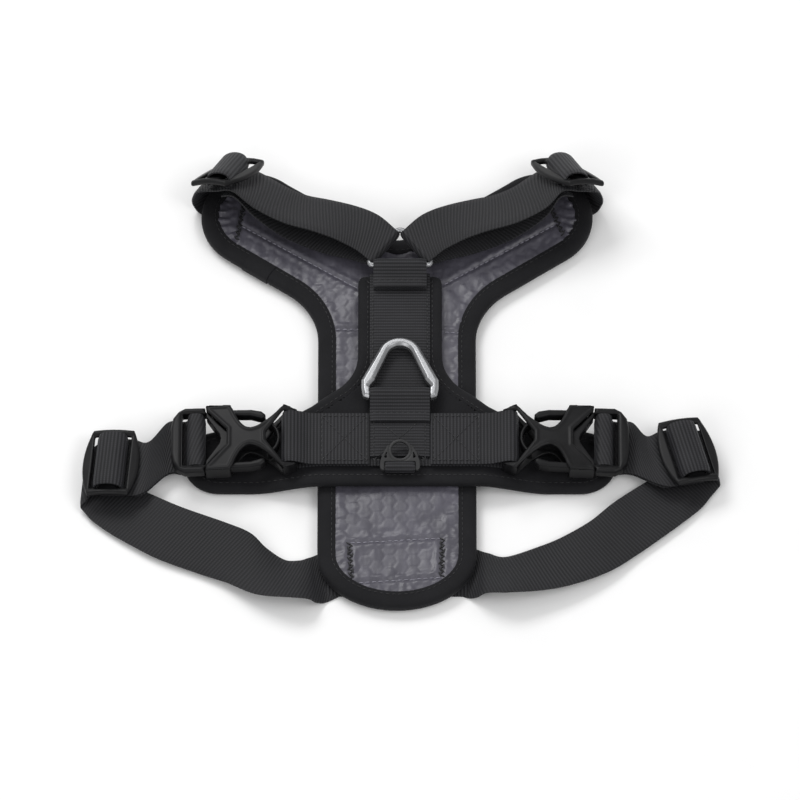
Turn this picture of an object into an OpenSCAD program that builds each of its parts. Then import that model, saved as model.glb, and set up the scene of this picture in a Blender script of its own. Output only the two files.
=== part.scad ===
// Padded Y-shaped dog harness laid flat with its webbing side up.
// A wide chest panel lies at the bottom with its lining up. A narrow back panel crosses over
// it, and two side-release buckles, four strap sliders and three rings join them up.
// Frame: +X to the right-hand buckle, +Y towards the neck, +Z up from the surface it lies on.

/* [Chest panel] */
// Half-width of the chest column
chest_half = 39.5; // [38:0.5:41]
// Sideways offset of the chest panel's centreline
chest_x = -1.5; // [-3:0.5:0]
// Height of the chest panel's bottom face
chest_z = 1.6; // [1.6:0.2:2.4]
// Thickness of the chest panel over its binding
chest_t = 5.6; // [4:0.2:5.6]
// Visible width of the chest panel's edge binding
chest_bind = 9; // [6:0.5:10]

/* [Back panel] */
// Half-width of the back panel's column
back_half = 21; // [19:0.5:23]
// Height of the back panel's bottom face on the chest column
back_z = 7.9; // [7.9:0.1:8.4]
// Thickness of the back panel over its binding
back_t = 4.7; // [4:0.1:5]
// Visible width of the back panel's edge binding
back_bind = 6.5; // [5:0.5:8]
// How far the wings sink where they leave the chest column
droop = 7.4; // [6:0.2:7.4]

/* [Webbing] */
// Width of the strap webbing
web_w = 30; // [28:0.5:30]
// Thickness of all the webbing
web_t = 1.6; // [1.2:0.1:1.6]
// Width of the small tag ring's webbing
tag_w = 14.4; // [13:0.2:14.4]

/* [Rings] */
// Radius of the leash ring's bar
leash_bar_r = 2.3; // [2:0.1:2.3]
// Thickness of the leash ring
leash_t = 5; // [4:0.5:5]
// Radius of the tag ring's bar
tag_bar_r = 1.3; // [1:0.1:1.3]
// Radius of the tag ring's round eye
tag_eye_r = 4.3; // [3.8:0.1:4.4]
// Radius of the neck ring's wire
neck_r = 1.5; // [1.3:0.1:1.6]

/* [Buckles and sliders] */
// Half-width of a buckle
buckle_half = 19; // [18.6:0.2:19.4]
// Half-thickness of a buckle's outer shell
buckle_t = 5.2; // [5:0.1:5.4]
// Length of a slider along the strap
slider_len = 28.5; // [27:0.5:29]
// Thickness of a slider's plate
slider_t = 2.4; // [2:0.1:2.4]

/* [Hidden] */
$fn = 48;

shell_colour = [0.09, 0.09, 0.1];
foam_colour = [0.3, 0.3, 0.32];
lining_colour = [0.36, 0.35, 0.4];
binding_colour = [0.06, 0.06, 0.07];
web_colour = [0.08, 0.08, 0.09];
metal_colour = [0.62, 0.63, 0.66];
plastic_colour = [0.05, 0.05, 0.06];

shell_t = 0.8;
web_h = web_w / 2;
strap_t = web_t - 0.2;  // the loose straps are a little thinner
wing_flat_x = 38;       // the wings are level out to here
wing_low_x = 74;        // and fully down from here
back_top = back_z + back_t;
spine_z = back_top + web_t / 2;
patch_z = spine_z + web_t;
cross_y = -35.5;
spine_end_y = 64;
belly_web_y = -104;
leash_bar = [-11.5, patch_z + leash_bar_r + 0.25 + web_t / 2];  // Y and Z of the bar
tag_bar = [-53.7, 16.6];
tag_tilt = 15;
neck_bar = [66.5, 17.8];
neck_half = 17;
neck_height = 23;
arm_pivot = [6, 15.3];

// Frames of the hardware, as [origin, rotation]. X runs along the strap towards the middle.
// They are for the left-hand side, and a mirror makes the right-hand side.
buckle_at = [[-98, -36, 12.75], [0, -3, 0]];
belly_slider_at = [
    [[-144, -48, 13], [0, -8, -5]],
    [[-143.5, -41, 13], [0, -8, -15]]
];
shoulder_slider_at = [
    [[-87, 119, 24.5], [-34, -26, -19.5]],
    [[-84.5, 119, 24.5], [-34, -26, -19.5]]
];

// ---------------------------------------------------------------- helpers

function arc(c, r, a0, a1, n = 12) =
    [for (i = [0:n]) let (a = a0 + (a1 - a0) * i / n) [c.x + r * cos(a), c.y + r * sin(a)]];
function flip(pts) = [for (i = [len(pts) - 1:-1:0]) [-pts[i].x, pts[i].y]];
function both_sides(left) = concat(left, flip(left));
function unit(v) = v / norm(v);

function turn_x(a, p) = [p.x, p.y * cos(a) - p.z * sin(a), p.y * sin(a) + p.z * cos(a)];
function turn_y(a, p) = [p.x * cos(a) + p.z * sin(a), p.y, -p.x * sin(a) + p.z * cos(a)];
function turn_z(a, p) = [p.x * cos(a) - p.y * sin(a), p.x * sin(a) + p.y * cos(a), p.z];
// A point given in a frame, in the part's own frame
function at(f, p) = f[0] + turn_z(f[1].z, turn_y(f[1].y, turn_x(f[1].x, p)));

// The outlines are drawn round the crossing of the spine and a line under the leash ring.
// This moves a piece so that the middle of the whole harness is at the origin.
middle = [0.3, 3.6];
module centred() {
    translate([-middle.x, -middle.y, 0]) children();
}

module put(f) {
    translate(f[0]) rotate(f[1]) children();
}

// side = 0 is the left-hand side as it stands, side = 1 its mirror image
module on_side(side) {
    mirror([side, 0, 0]) children();
}

// Outline of a strip of webbing that follows a path in a plane
function path_normal(p, i) =
    let (a = p[max(i - 1, 0)], b = p[min(i + 1, len(p) - 1)], d = unit(b - a)) [-d.y, d.x];
function strip(path, t) = concat(
    [for (i = [0:len(path) - 1]) path[i] + path_normal(path, i) * t / 2],
    [for (i = [len(path) - 1:-1:0]) path[i] - path_normal(path, i) * t / 2]);

// Extrudes a YZ outline along X, centred
module along_x(width) {
    rotate([90, 0, 90]) translate([0, 0, -width / 2]) linear_extrude(width) children();
}

// Extrudes an XZ outline along Y, from y0 to y1
module along_y(y0, y1) {
    translate([0, y1, 0]) rotate([90, 0, 0]) linear_extrude(y1 - y0) children();
}

// A strap swept through stations [x, y, z, heading of its width, roll of its width, width]
function spline(a, b, c, d, t) =
    0.5 * (2 * b + (c - a) * t + (2 * a - 5 * b + 4 * c - d) * t * t
        + (3 * b - a - 3 * c + d) * t * t * t);
function station(s, i) = s[max(0, min(len(s) - 1, i))];
function smooth_stations(s, n) = concat(
    [for (i = [0:len(s) - 2]) for (k = [0:n - 1])
        spline(station(s, i - 1), s[i], s[i + 1], station(s, i + 2), k / n)],
    [s[len(s) - 1]]);
function place(s) = [s[0], s[1], s[2]];
function across(s) = [cos(s[3]) * cos(s[4]), sin(s[3]) * cos(s[4]), sin(s[4])];
function ribbon_ring(s, i, t) =
    let (
        along = unit(place(station(s, i + 1)) - place(station(s, i - 1))),
        w = across(s[i]) * s[i][5] / 2,
        n = unit(cross(along, w)) * t / 2,
        c = place(s[i])
    )
    [c - w - n, c + w - n, c + w + n, c - w + n];

// A closed loop of round wire along a level path
function loop_ring(path, i, r, sides) =
    let (
        count = len(path),
        d = unit(path[(i + 1) % count] - path[(i + count - 1) % count])
    )
    [for (k = [0:sides - 1]) let (a = 360 * k / sides)
        [path[i].x - d.y * r * cos(a), path[i].y + d.x * r * cos(a), r * sin(a)]];

module wire_loop(path, r, sides = 12) {
    count = len(path);
    points = [for (i = [0:count - 1]) each loop_ring(path, i, r, sides)];
    faces = [for (i = [0:count - 1]) for (k = [0:sides - 1])
        let (a = i * sides + k, b = i * sides + (k + 1) % sides,
             c = ((i + 1) % count) * sides + k, d = ((i + 1) % count) * sides + (k + 1) % sides)
        each [[a, c, d], [a, d, b]]];
    polyhedron(points, faces);
}

module ribbon(stations, t, n = 3) {
    s = smooth_stations(stations, n);
    last = len(s) - 1;
    points = [for (i = [0:last]) each ribbon_ring(s, i, t)];
    sides = [for (i = [0:last - 1]) for (k = [0:3]) let (a = 4 * i + k, b = 4 * i + (k + 1) % 4)
        each [[a, b + 4, b], [a, a + 4, b + 4]]];
    polyhedron(points, concat(sides, [[0, 1, 2, 3]], [[for (k = [3:-1:0]) 4 * last + k]]));
}

// ---------------------------------------------------------------- chest panel

chest_left = concat(
    [for (a = [270:-7.5:180]) [chest_half * cos(a), -98 + 31 * sin(a)]],
    arc([-chest_half - 35, 29], 35, 0, 58),
    arc([-68.8, 104], 30, 238, 183, 7),
    arc([-72.8, 104], 26, 180, 48, 14),
    arc([0, 104.5], 15, 228, 270, 6));

module chest_outline() {
    translate([chest_x, 0]) polygon(both_sides(chest_left));
}

module chest_layer(z0, z1) {
    translate([0, 0, chest_z + z0]) linear_extrude(z1 - z0)
        offset(delta = -chest_bind) chest_outline();
}

module chest_outer_shell() {
    color(shell_colour) centred() chest_layer(0, shell_t);
}

module chest_foam() {
    color(foam_colour) centred() chest_layer(shell_t, chest_t - shell_t);
}

module chest_lining() {
    color(lining_colour) centred() chest_layer(chest_t - shell_t, chest_t);
}

module chest_binding() {
    color(binding_colour) centred() translate([0, 0, chest_z]) linear_extrude(chest_t)
        difference() {
            chest_outline();
            offset(delta = -chest_bind) chest_outline();
        }
}

// Strap sewn flat across the underside, under the bottom end of the chest panel
module belly_web() {
    color(web_colour) centred() translate([chest_x - chest_half, belly_web_y - web_h, 0])
        cube([2 * chest_half, web_w, web_t]);
}

// ---------------------------------------------------------------- back panel

back_left = concat(
    arc([-back_half + 3, spine_end_y - 3], 3, 90, 180, 4),
    arc([-back_half - 26, 17], 26, 0, -60, 10),
    [[-44, -13.5], [-54, -18], [-88, -24]],
    arc([-90, -42], 18, 96, 270, 18));

// How far the wings have sunk at a distance x from the middle
function drop_at(x) =
    let (s = max(0, min(1, (abs(x) - wing_flat_x) / (wing_low_x - wing_flat_x))))
    droop * s * s * (3 - 2 * s);
drape_x = concat([-112], [for (i = [-10:10]) sign(i) * (wing_flat_x - 4 + 4 * abs(i))], [112]);
drape_stops = [for (i = [0:len(drape_x) - 1]) if (i == 0 || drape_x[i] > drape_x[i - 1]) drape_x[i]];

module drape_band(z0, z1) {
    along_y(-80, 80) polygon(concat(
        [for (x = drape_stops) [x, z0 - drop_at(x)]],
        [for (i = [len(drape_stops) - 1:-1:0]) [drape_stops[i], z1 - drop_at(drape_stops[i])]]));
}

module back_outline() {
    polygon(both_sides(back_left));
}

module back_inner() {
    offset(delta = -back_bind) back_outline();
}

module back_layer(z0, z1) {
    intersection() {
        drape_band(back_z + z0, back_z + z1);
        linear_extrude(30) back_inner();
    }
}

module back_outer_shell() {
    color(shell_colour) centred() back_layer(back_t - shell_t, back_t);
}

module back_foam() {
    color(foam_colour) centred() back_layer(shell_t, back_t - shell_t);
}

module back_lining() {
    color(lining_colour) centred() back_layer(0, shell_t);
}

module back_binding() {
    color(binding_colour) centred() intersection() {
        drape_band(back_z, back_top);
        linear_extrude(30) difference() {
            back_outline();
            back_inner();
        }
    }
}

// ---------------------------------------------------------------- sewn webbing

module spine_web() {
    color(web_colour) centred() translate([-web_h, cross_y + web_h, back_top])
        cube([web_w, spine_end_y - cross_y - web_h, web_t]);
}

// Half of the cross web's path, from the middle of its upper layer round the buckle's bar
female_bar = at(buckle_at, [43, 0, 0]);
bar_wrap_r = 3.3;
ply_gap = 0.1;          // air between two plies of one folded strap
folded_z = patch_z + ply_gap;
function cross_lower_z(x) = spine_z - drop_at(x) + min(ply_gap / 2, drop_at(x));
cross_half = concat(
    [[web_h + 0.2, folded_z], [42, folded_z], [46, folded_z + 0.4], [50.5, folded_z + 2.2]],
    arc([-female_bar.x, female_bar.z], bar_wrap_r, 100, -90, 12),
    [for (x = [50:-4:2]) [x, cross_lower_z(x)]]);

module cross_web() {
    color(web_colour) centred() along_y(cross_y - web_h + 0.1, cross_y + web_h - 0.1)
        polygon(strip(concat(cross_half, [for (i = [len(cross_half) - 1:-1:0])
            [-cross_half[i].x, cross_half[i].y]]), web_t));
}

leash_wrap_r = leash_bar_r + 0.25 + web_t / 2;
module leash_loop() {
    color(web_colour) centred() along_x(web_w - 0.2) polygon(strip(concat(
        [[-46, patch_z], [-22, patch_z]],
        arc(leash_bar, leash_wrap_r, -90, 110, 16),
        [[-17.5, patch_z + 3.6], [-20.5, patch_z + 1.9], [-26, patch_z + web_t + ply_gap]]), web_t));
}

neck_wrap_r = neck_bar.y - patch_z;
module neck_loop() {
    color(web_colour) centred() along_x(web_w - 5) polygon(strip(concat(
        [[54, patch_z], [60, patch_z]],
        arc(neck_bar, neck_wrap_r, -90, 110, 16),
        [[62, patch_z + 3.4], [59, patch_z + 1.9], [54, patch_z + web_t + ply_gap]]), web_t));
}

tag_web_t = 1;
tag_wrap_r = tag_bar_r + 0.3 + tag_web_t / 2;
module tag_loop() {
    color(web_colour) centred() {
        along_x(tag_w) polygon(strip(arc(tag_bar, tag_wrap_r, 45, 315, 24), tag_web_t));
        along_x(tag_w) translate([tag_bar.x + 1.0, back_top + web_t])
            square([5.5, web_t - 0.1]);
    }
}

// ---------------------------------------------------------------- rings

// The leash ring is a trapezoid loop with an arched top, flat on the spine
leash_left = concat(
    [[-14, -3.4], [-18.4, -1.6], [-19.2, 3], [-19.2, 8]],
    arc([0, 22], 11.3, 161, 90, 8));
leash_hole = concat(
    [[-15.3, 4.6], [-12.4, 8.6], [-12.4, 9.4]],
    arc([0, 22], 6.6, 158, 90, 8));

module leash_ring() {
    color(metal_colour) centred() translate([0, leash_bar.x, leash_bar.y]) {
        translate([0, 0, -leash_t / 2]) linear_extrude(leash_t) difference() {
            polygon(both_sides(leash_left));
            polygon(both_sides(leash_hole));
            translate([-15.3, -5]) square([30.6, 9.7]);
        }
        rotate([0, 90, 0]) cylinder(r = leash_bar_r, h = 32, center = true);
    }
}

// The tag ring has a round eye and a slot for its webbing
module tag_ring() {
    color(plastic_colour) centred() translate([0, tag_bar.x, tag_bar.y]) rotate([tag_tilt, 0, 0]) {
        difference() {
            translate([0, 0, -tag_bar_r]) linear_extrude(2 * tag_bar_r) difference() {
                union() {
                    polygon(both_sides([[-9, -1.3], [-10, 0], [-10, 2.5], [-8.6, 7], [-6, 11.6]]));
                    translate([0, 9]) circle(tag_eye_r + 1.5);
                }
                translate([-7.6, -2]) square([15.2, 5.2]);
                for (s = [-1, 1])
                    polygon([[s * 6.6, 4.6], [s * 7.9, 5.4], [s * 6.4, 9]]);
            }
            translate([0, 9, -5]) cylinder(r = tag_eye_r, h = 10);
        }
        rotate([0, 90, 0]) cylinder(r = tag_bar_r, h = 17, center = true);
    }
}

// The neck ring is a rounded triangle of wire with its base in the neck loop
neck_bend = 1.8;
neck_top_bend = 3;
neck_side_angle = atan2(neck_height, neck_half);
neck_centres = [
    [-neck_half + neck_bend / tan(neck_side_angle / 2), neck_bar.x + neck_bend],
    [neck_half - neck_bend / tan(neck_side_angle / 2), neck_bar.x + neck_bend],
    [0, neck_bar.x + neck_height - neck_top_bend / cos(neck_side_angle)]];
neck_path = concat(
    arc(neck_centres[0], neck_bend, 270 - (180 - neck_side_angle), 270, 8),
    arc(neck_centres[1], neck_bend, -90, 90 - neck_side_angle, 8),
    arc(neck_centres[2], neck_top_bend, 90 - neck_side_angle, 90 + neck_side_angle, 10));

module neck_ring() {
    color(metal_colour) centred() translate([0, 0, neck_bar.y]) wire_loop(neck_path, neck_r);
}

// ---------------------------------------------------------------- shoulder straps

// From under the arm, round its tip, under the slider, through the neck ring and back
fold_share = 0.53;      // how far up the neck ring's side the strap is folded
fold_web_w = 15.8;      // the strap is bunched to this width in the neck ring
fold_at = [-neck_half * (1 - fold_share), neck_bar.x + neck_height * fold_share, neck_bar.y];
fold_heading = atan2(neck_height, neck_half);
fold_r = neck_r + 0.2 + strap_t / 2;
function shoulder_stations(f) =
    let (out = [sin(fold_heading), -cos(fold_heading), 0], s = f[0].x + 87)
    [
        [-34, 78.5, 0.8, 56, 0, 30],
        [-60, 97.7, 0.8, 56, 0, 30],
        [-80 + s, 112.4, 0.8, 56, 0, 30],
        [-90 + s, 119.8, 0.8, 56, 0, 30],
        [-93.4 + s, 122.3, 0.9, 56, 0, 30],
        [-94.7 + s, 123.2, 1.7, 56, -2, 30],
        [-95.8 + s, 123.5, 3.2, 57, -5, 30],
        [-96.8 + s, 122.9, 5.4, 58, -10, 30],
        [-98.2 + s, 121.3, 9.2, 63, -22, 30],
        strap_station(f, [-15, 0, -6.6]),
        strap_station(f, [-9, 0, -5.6]),
        strap_station(f, [-2, 0, -4.9]),
        strap_station(f, [8, 0, -5]),
        [-65.4, 104.2, 22.6, 56, -27, 30],
        [-53, 98.4, 20.9, 66, -25, 30],
        [-40, 94.6, 20.8, 71, -23, 30],
        [-28, 90.6, 20.4, 71, -18, 29],
        [-17, 84.6, 20.6, 61, -6, 25],
        [fold_at.x, fold_at.y, fold_at.z + fold_r, fold_heading, 0, fold_web_w],
        each [for (a = [30:30:150]) let (p = fold_at + fold_r * (out * sin(a) + [0, 0, cos(a)]))
            [p.x, p.y, p.z, fold_heading, 0, fold_web_w]],
        [fold_at.x, fold_at.y, fold_at.z - fold_r, fold_heading, 0, fold_web_w],
        [-19, 84.4, 13.8, 64, 0, 26],
        [-30, 89.8, 12.6, 70, -3, 30],
        [-42, 94, 12.3, 70, -6, 30],
        [-54, 99, 13, 65, -12, 30],
        [-66, 104.4, 17, 58, -22, 30],
        strap_station(f, [8, 0, -8.8]),
        strap_station(f, [0, 0, -8.2])
    ];

// A station of a strap that lies in a piece of hardware's own frame
function strap_station(f, p) =
    let (c = at(f, p)) [c.x, c.y, c.z, 90 + f[1].z, f[1].x, web_w];

module shoulder_strap(side) {
    color(web_colour) centred() on_side(side) ribbon(shoulder_stations(shoulder_slider_at[side]), strap_t);
}

module shoulder_strap_left() {
    shoulder_strap(0);
}

module shoulder_strap_right() {
    shoulder_strap(1);
}

// ---------------------------------------------------------------- sliders

arch_r = 45;
arch_step = 5;
function arch_z(u) = sqrt(arch_r * arch_r - u * u) - arch_r;
bar_half = 4.4;
slot_end = 9.2;
slot_half = web_h + 0.4;
hump = [[-6.8, -2.6], [-6.8, 0.6], [-5.7, 2.8], [-3.2, 4], [0, 4.4],
        [3.2, 4], [5.7, 2.8], [6.8, 0.6], [6.8, -2.6]];

module slider_plate() {
    end_r = 47;
    intersection() {
        along_y(-20, 20) polygon(concat(
            [for (u = [-20:arch_step:20]) [u, arch_z(u) - slider_t / 2]],
            [for (u = [20:-arch_step:-20]) [u, arch_z(u) + slider_t / 2]]));
        translate([0, 0, -10]) linear_extrude(20) difference() {
            intersection() {
                square([slider_len, 2 * buckle_half], center = true);
                translate([end_r - slider_len / 2, 0]) circle(end_r);
                translate([slider_len / 2 - end_r, 0]) circle(end_r);
            }
            for (s = [-1, 1]) translate([s * (bar_half + slot_end) / 2, 0])
                square([slot_end - bar_half, 2 * slot_half], center = true);
        }
    }
}

module slider_web() {
    along_y(-web_h + 0.1, web_h - 0.1) polygon(strip(hump, web_t));
}

module slider(f, side) {
    color(plastic_colour) centred() on_side(side) put(f) slider_plate();
}

module slider_loop(f, side) {
    color(shell_colour) centred() on_side(side) put(f) slider_web();
}

module shoulder_slider_left() {
    slider(shoulder_slider_at[0], 0);
}

module shoulder_slider_right() {
    slider(shoulder_slider_at[1], 1);
}

module shoulder_slider_web_left() {
    slider_loop(shoulder_slider_at[0], 0);
}

module shoulder_slider_web_right() {
    slider_loop(shoulder_slider_at[1], 1);
}

module belly_slider_left() {
    slider(belly_slider_at[0], 0);
}

module belly_slider_right() {
    slider(belly_slider_at[1], 1);
}

module belly_slider_web_left() {
    slider_loop(belly_slider_at[0], 0);
}

module belly_slider_web_right() {
    slider_loop(belly_slider_at[1], 1);
}

// ---------------------------------------------------------------- belly straps

// Free runs from the chest panel to the fold beyond the slider
belly_runs = [
    [
        [-42.4, -110.5, 5.6, 92, -16, 30], [-50, -113, 7.2, 90, -21, 30],
        [-58, -112.4, 7.2, 88, -21, 30], [-69, -107.6, 6.4, 80, -8, 30],
        [-80, -99.6, 5.8, 68, 4, 30], [-92.5, -94, 5.5, 66, 10, 30],
        [-113.5, -85.2, 5.4, 67, 9, 30], [-127, -77, 4, 67, 4, 30],
        [-138, -69.5, 2.6, 68, 0, 30], [-148.5, -61.5, 2.4, 74, 0, 30],
        [-154.5, -56, 2.5, 82, 0, 30], [-157.2, -53.6, 3.8, 85, 0, 30],
        [-155.4, -51.6, 5, 85, 0, 30]
    ],
    [
        [-42.4, -108.5, 6.2, 92, -18, 30], [-53, -110.6, 7.6, 89, -23, 30],
        [-70, -106.4, 6.8, 86, -13, 30], [-83.5, -101.4, 6.2, 80, -6, 30],
        [-99, -92.8, 5.6, 72, 2, 30], [-111.5, -82.6, 5.4, 66, 9, 30],
        [-122, -73.5, 4.2, 62, 5, 30], [-133, -64, 2.8, 61, 0, 30],
        [-143.5, -54.6, 2.4, 66, 0, 30], [-149.6, -47.4, 2.4, 71, 0, 30],
        [-153.8, -42.8, 2.6, 75, 0, 30], [-155.2, -41, 3.9, 75, 0, 30],
        [-153.8, -39.2, 5, 75, 0, 30]
    ]
];

// Section of the strap round the male end's bar, as [u, w] in the buckle's frame
bar_path = [
    [-18, -6.1], [-10, -6.1], [-1.5, -6], [0.2, -5.1], [0.5, -3], [0.4, -0.5], [-0.4, 1.7],
    [-1.6, 2.8], [-3.6, 3.1], [-5.6, 2.8], [-7, 1.4], [-7.3, -1], [-7.9, -3.3], [-9.8, -4.5],
    [-18, -4.5]];

function belly_stations(side) =
    let (f = belly_slider_at[side])
    concat(
        belly_runs[side],
        [for (u = [-8, 2, 10, 17]) strap_station(f, [u, 0, -6.6])],
        [for (p = bar_path) strap_station(buckle_at, [p.x, 0, p.y])],
        [for (u = [17, 9, -4]) strap_station(f, [u, 0, -4.9])]);

module belly_strap(side) {
    color(web_colour) centred() on_side(side) ribbon(belly_stations(side), strap_t, 2);
}

module belly_strap_left() {
    belly_strap(0);
}

module belly_strap_right() {
    belly_strap(1);
}

// ---------------------------------------------------------------- buckles

plate_z = 3.2;          // inner faces of the female end's two plates
post_half = web_h + 0.4;
band_in = 17.6;
web_notch_u = 40.2;     // the web's notch starts here
ear_u = 42;             // the lower plate ends here, above the wing
window_u = 24;

// Upper half of the female plate's outline: a mouth notch, a side window and a web notch
function window(s, reach, power) = [window_u + reach * s, 5 + 14.5 * pow(s, power)];
female_top = concat(
    [[12, 0], [12, 4.5], [1.8, 16.2], [1.5, buckle_half - 1], [2.5, buckle_half],
     [13.4, buckle_half]],
    [for (i = [9:-1:0]) window(i / 10, -10, 2.2)],
    [for (i = [1:9]) window(i / 10, 17, 1.5)],
    [[41.5, buckle_half], [46, buckle_half], [47, buckle_half - 1.2], [47, post_half],
     [web_notch_u, post_half], [31.5, 2.5], [31.5, 0]]);

module half_and_mirror(points) {
    polygon(points);
    mirror([0, 1]) polygon(points);
}

module female_end() {
    translate([0, 0, plate_z]) linear_extrude(buckle_t - plate_z) half_and_mirror(female_top);
    translate([0, 0, -buckle_t]) linear_extrude(buckle_t - plate_z) intersection() {
        half_and_mirror(female_top);
        translate([0, -30]) square([ear_u, 60]);
    }
    for (s = [-1, 1]) {
        translate([1.5, s * (band_in + buckle_half) / 2 - (buckle_half - band_in) / 2, -buckle_t])
            cube([12.5, buckle_half - band_in, 2 * buckle_t]);
        translate([web_notch_u, s > 0 ? post_half : -buckle_half, -plate_z - 0.4])
            cube([47 - web_notch_u, buckle_half - post_half, plate_z + 0.4 + buckle_t]);
    }
    translate([43, 0, 0]) rotate([90, 0, 0]) cylinder(r = 2.2, h = 2 * post_half + 1, center = true);
    translate([27, 0, -plate_z]) linear_extrude(2 * plate_z)
        polygon(concat(arc([0, 0], 11.4, -58, 58, 12), arc([0, 0], 10.2, 58, -58, 12)));
}

// The male end: a frame round the strap's bar, two slanting struts and a centre tongue
male_t = 3;
male_edge_u = 1.1;
male_outline = [
    [-16, 0], [-16, 8], [-15, 13.2], [-12.4, 17], [-9, buckle_half], [male_edge_u, buckle_half],
    [male_edge_u, 17.2], [3.2, 14], [11.4, 4.6], [28.8, 3.6], [30, 2.6], [30, 0]];
male_mouth = [[1.7, 0], [1.7, 13.2], [2.2, 12.4], [8.4, 2.4], [9, 0]];
slot_u = -10.3;
bar_u = [-5.6, -1.6];

module male_end() {
    difference() {
        translate([0, 0, -male_t]) linear_extrude(2 * male_t) half_and_mirror(male_outline);
        translate([slot_u, -slot_half, -5]) cube([1.7 - slot_u, 2 * slot_half, 10]);
        translate([0, 0, -5]) linear_extrude(10) half_and_mirror(male_mouth);
    }
    translate([bar_u[0], -slot_half - 0.5, -1.6])
        cube([bar_u[1] - bar_u[0], 2 * slot_half + 1, 3.2]);
}

// A squeeze arm: a round root at its flex point and a long curved blade
arm_root_r = 1.9;
arm_outline = [
    [6, 13.4], [12, 13.8], [24, 13.4], [29.5, 11.6], [31, 12.4], [31.2, 14], [29, 16],
    [24, 17], [12, 17.2], [6, 17.2]];

module squeeze_arm(side, hand) {
    color(plastic_colour) centred() on_side(side) put(buckle_at) mirror([0, hand < 0 ? 1 : 0, 0])
        translate([0, 0, -3]) {
            linear_extrude(6) polygon(arm_outline);
            translate([arm_pivot.x, arm_pivot.y, 0]) cylinder(r = arm_root_r, h = 6);
        }
}

module buckle_female(side) {
    color(plastic_colour) centred() on_side(side) put(buckle_at) female_end();
}

module buckle_male(side) {
    color(plastic_colour) centred() on_side(side) put(buckle_at) male_end();
}

module buckle_female_left() {
    buckle_female(0);
}

module buckle_female_right() {
    buckle_female(1);
}

module buckle_male_left() {
    buckle_male(0);
}

module buckle_male_right() {
    buckle_male(1);
}

module buckle_left_upper_arm() {
    squeeze_arm(0, 1);
}

module buckle_left_lower_arm() {
    squeeze_arm(0, -1);
}

module buckle_right_upper_arm() {
    squeeze_arm(1, 1);
}

module buckle_right_lower_arm() {
    squeeze_arm(1, -1);
}

// ---------------------------------------------------------------- nodes

chest_outer_shell();
chest_foam();
chest_lining();
chest_binding();
belly_web();
back_outer_shell();
back_foam();
back_lining();
back_binding();
spine_web();
cross_web();
leash_loop();
neck_loop();
tag_loop();
leash_ring();
tag_ring();
neck_ring();
shoulder_strap_left();
shoulder_strap_right();
shoulder_slider_left();
shoulder_slider_right();
shoulder_slider_web_left();
shoulder_slider_web_right();
belly_strap_left();
belly_strap_right();
belly_slider_left();
belly_slider_right();
belly_slider_web_left();
belly_slider_web_right();
buckle_female_left();
buckle_female_right();
buckle_male_left();
buckle_male_right();
buckle_left_upper_arm();
buckle_left_lower_arm();
buckle_right_upper_arm();
buckle_right_lower_arm();
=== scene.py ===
"""Looks of a padded Y-shaped dog harness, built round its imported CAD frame.

Lengths in this script are millimetres in the drawing's own frame unless a name ends in _m.
The function world() turns them into metres in the frame that Blender and the CAD share.
"""

import math

import bpy
import bmesh
import numpy as np
from mathutils import Euler, Matrix, Vector, kdtree, noise

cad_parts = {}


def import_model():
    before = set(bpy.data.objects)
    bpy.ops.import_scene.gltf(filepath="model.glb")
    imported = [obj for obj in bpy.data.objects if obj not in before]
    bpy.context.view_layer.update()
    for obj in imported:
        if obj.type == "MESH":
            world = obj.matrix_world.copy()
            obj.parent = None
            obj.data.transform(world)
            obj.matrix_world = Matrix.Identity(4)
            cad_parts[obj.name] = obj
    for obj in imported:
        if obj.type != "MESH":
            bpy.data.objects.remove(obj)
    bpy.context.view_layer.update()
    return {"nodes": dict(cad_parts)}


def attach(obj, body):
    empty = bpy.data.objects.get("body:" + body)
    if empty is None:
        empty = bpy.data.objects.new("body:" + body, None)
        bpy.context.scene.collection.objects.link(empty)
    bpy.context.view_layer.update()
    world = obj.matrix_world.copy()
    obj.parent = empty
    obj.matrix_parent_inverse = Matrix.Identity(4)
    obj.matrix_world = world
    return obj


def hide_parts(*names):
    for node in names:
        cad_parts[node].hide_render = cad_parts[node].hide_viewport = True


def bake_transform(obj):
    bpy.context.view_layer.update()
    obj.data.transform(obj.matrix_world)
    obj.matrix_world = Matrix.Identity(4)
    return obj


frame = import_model()

MM = 0.001
MIDDLE = Vector((0.3, 3.6, 0.0))
WEB_T = 1.5
WEB_W = 30.0
RIB_PITCH = 1.7
WARP_PITCH = 1.15
STITCH_PITCH = 3.0

# Heights of the layers, as in the CAD
CHEST_LOW, CHEST_TOP = 1.6, 7.2
BACK_LOW, BACK_TOP = 7.9, 12.6
SPINE_Z = 13.4
PATCH_Z = 15.0
DROOP = 7.4
WING_FLAT_X, WING_LOW_X = 38.0, 74.0
CROSS_Y = -35.5
LEASH_BAR = (-11.5, 18.35)
TAG_BAR = (-53.7, 16.6)
NECK_BAR = (66.5, 17.8)

BUCKLE_AT = ((-98.0, -36.0, 12.75), (0, -3, 0))
BELLY_SLIDER_AT = (((-144, -48, 13), (0, -8, -5)), ((-143.5, -41, 13), (0, -8, -15)))
SHOULDER_SLIDER_AT = (((-87, 119, 24.5), (-34, -26, -19.5)), ((-84.5, 119, 24.5), (-34, -26, -19.5)))
SIDES = ("left", "right")


# ------------------------------------------------------------------ geometry helpers

def world(p):
    """A drawing point in millimetres, as a point in the shared frame in metres."""
    return (Vector(p) - MIDDLE) * MM


def frame_matrix(at):
    """The matrix of a hardware frame: [origin, rotation in degrees], rotated as OpenSCAD does."""
    turn = Euler([math.radians(a) for a in at[1]], "XYZ").to_matrix().to_4x4()
    return Matrix.Translation(at[0]) @ turn


def in_frame(at, p):
    return frame_matrix(at) @ Vector(p)


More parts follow.
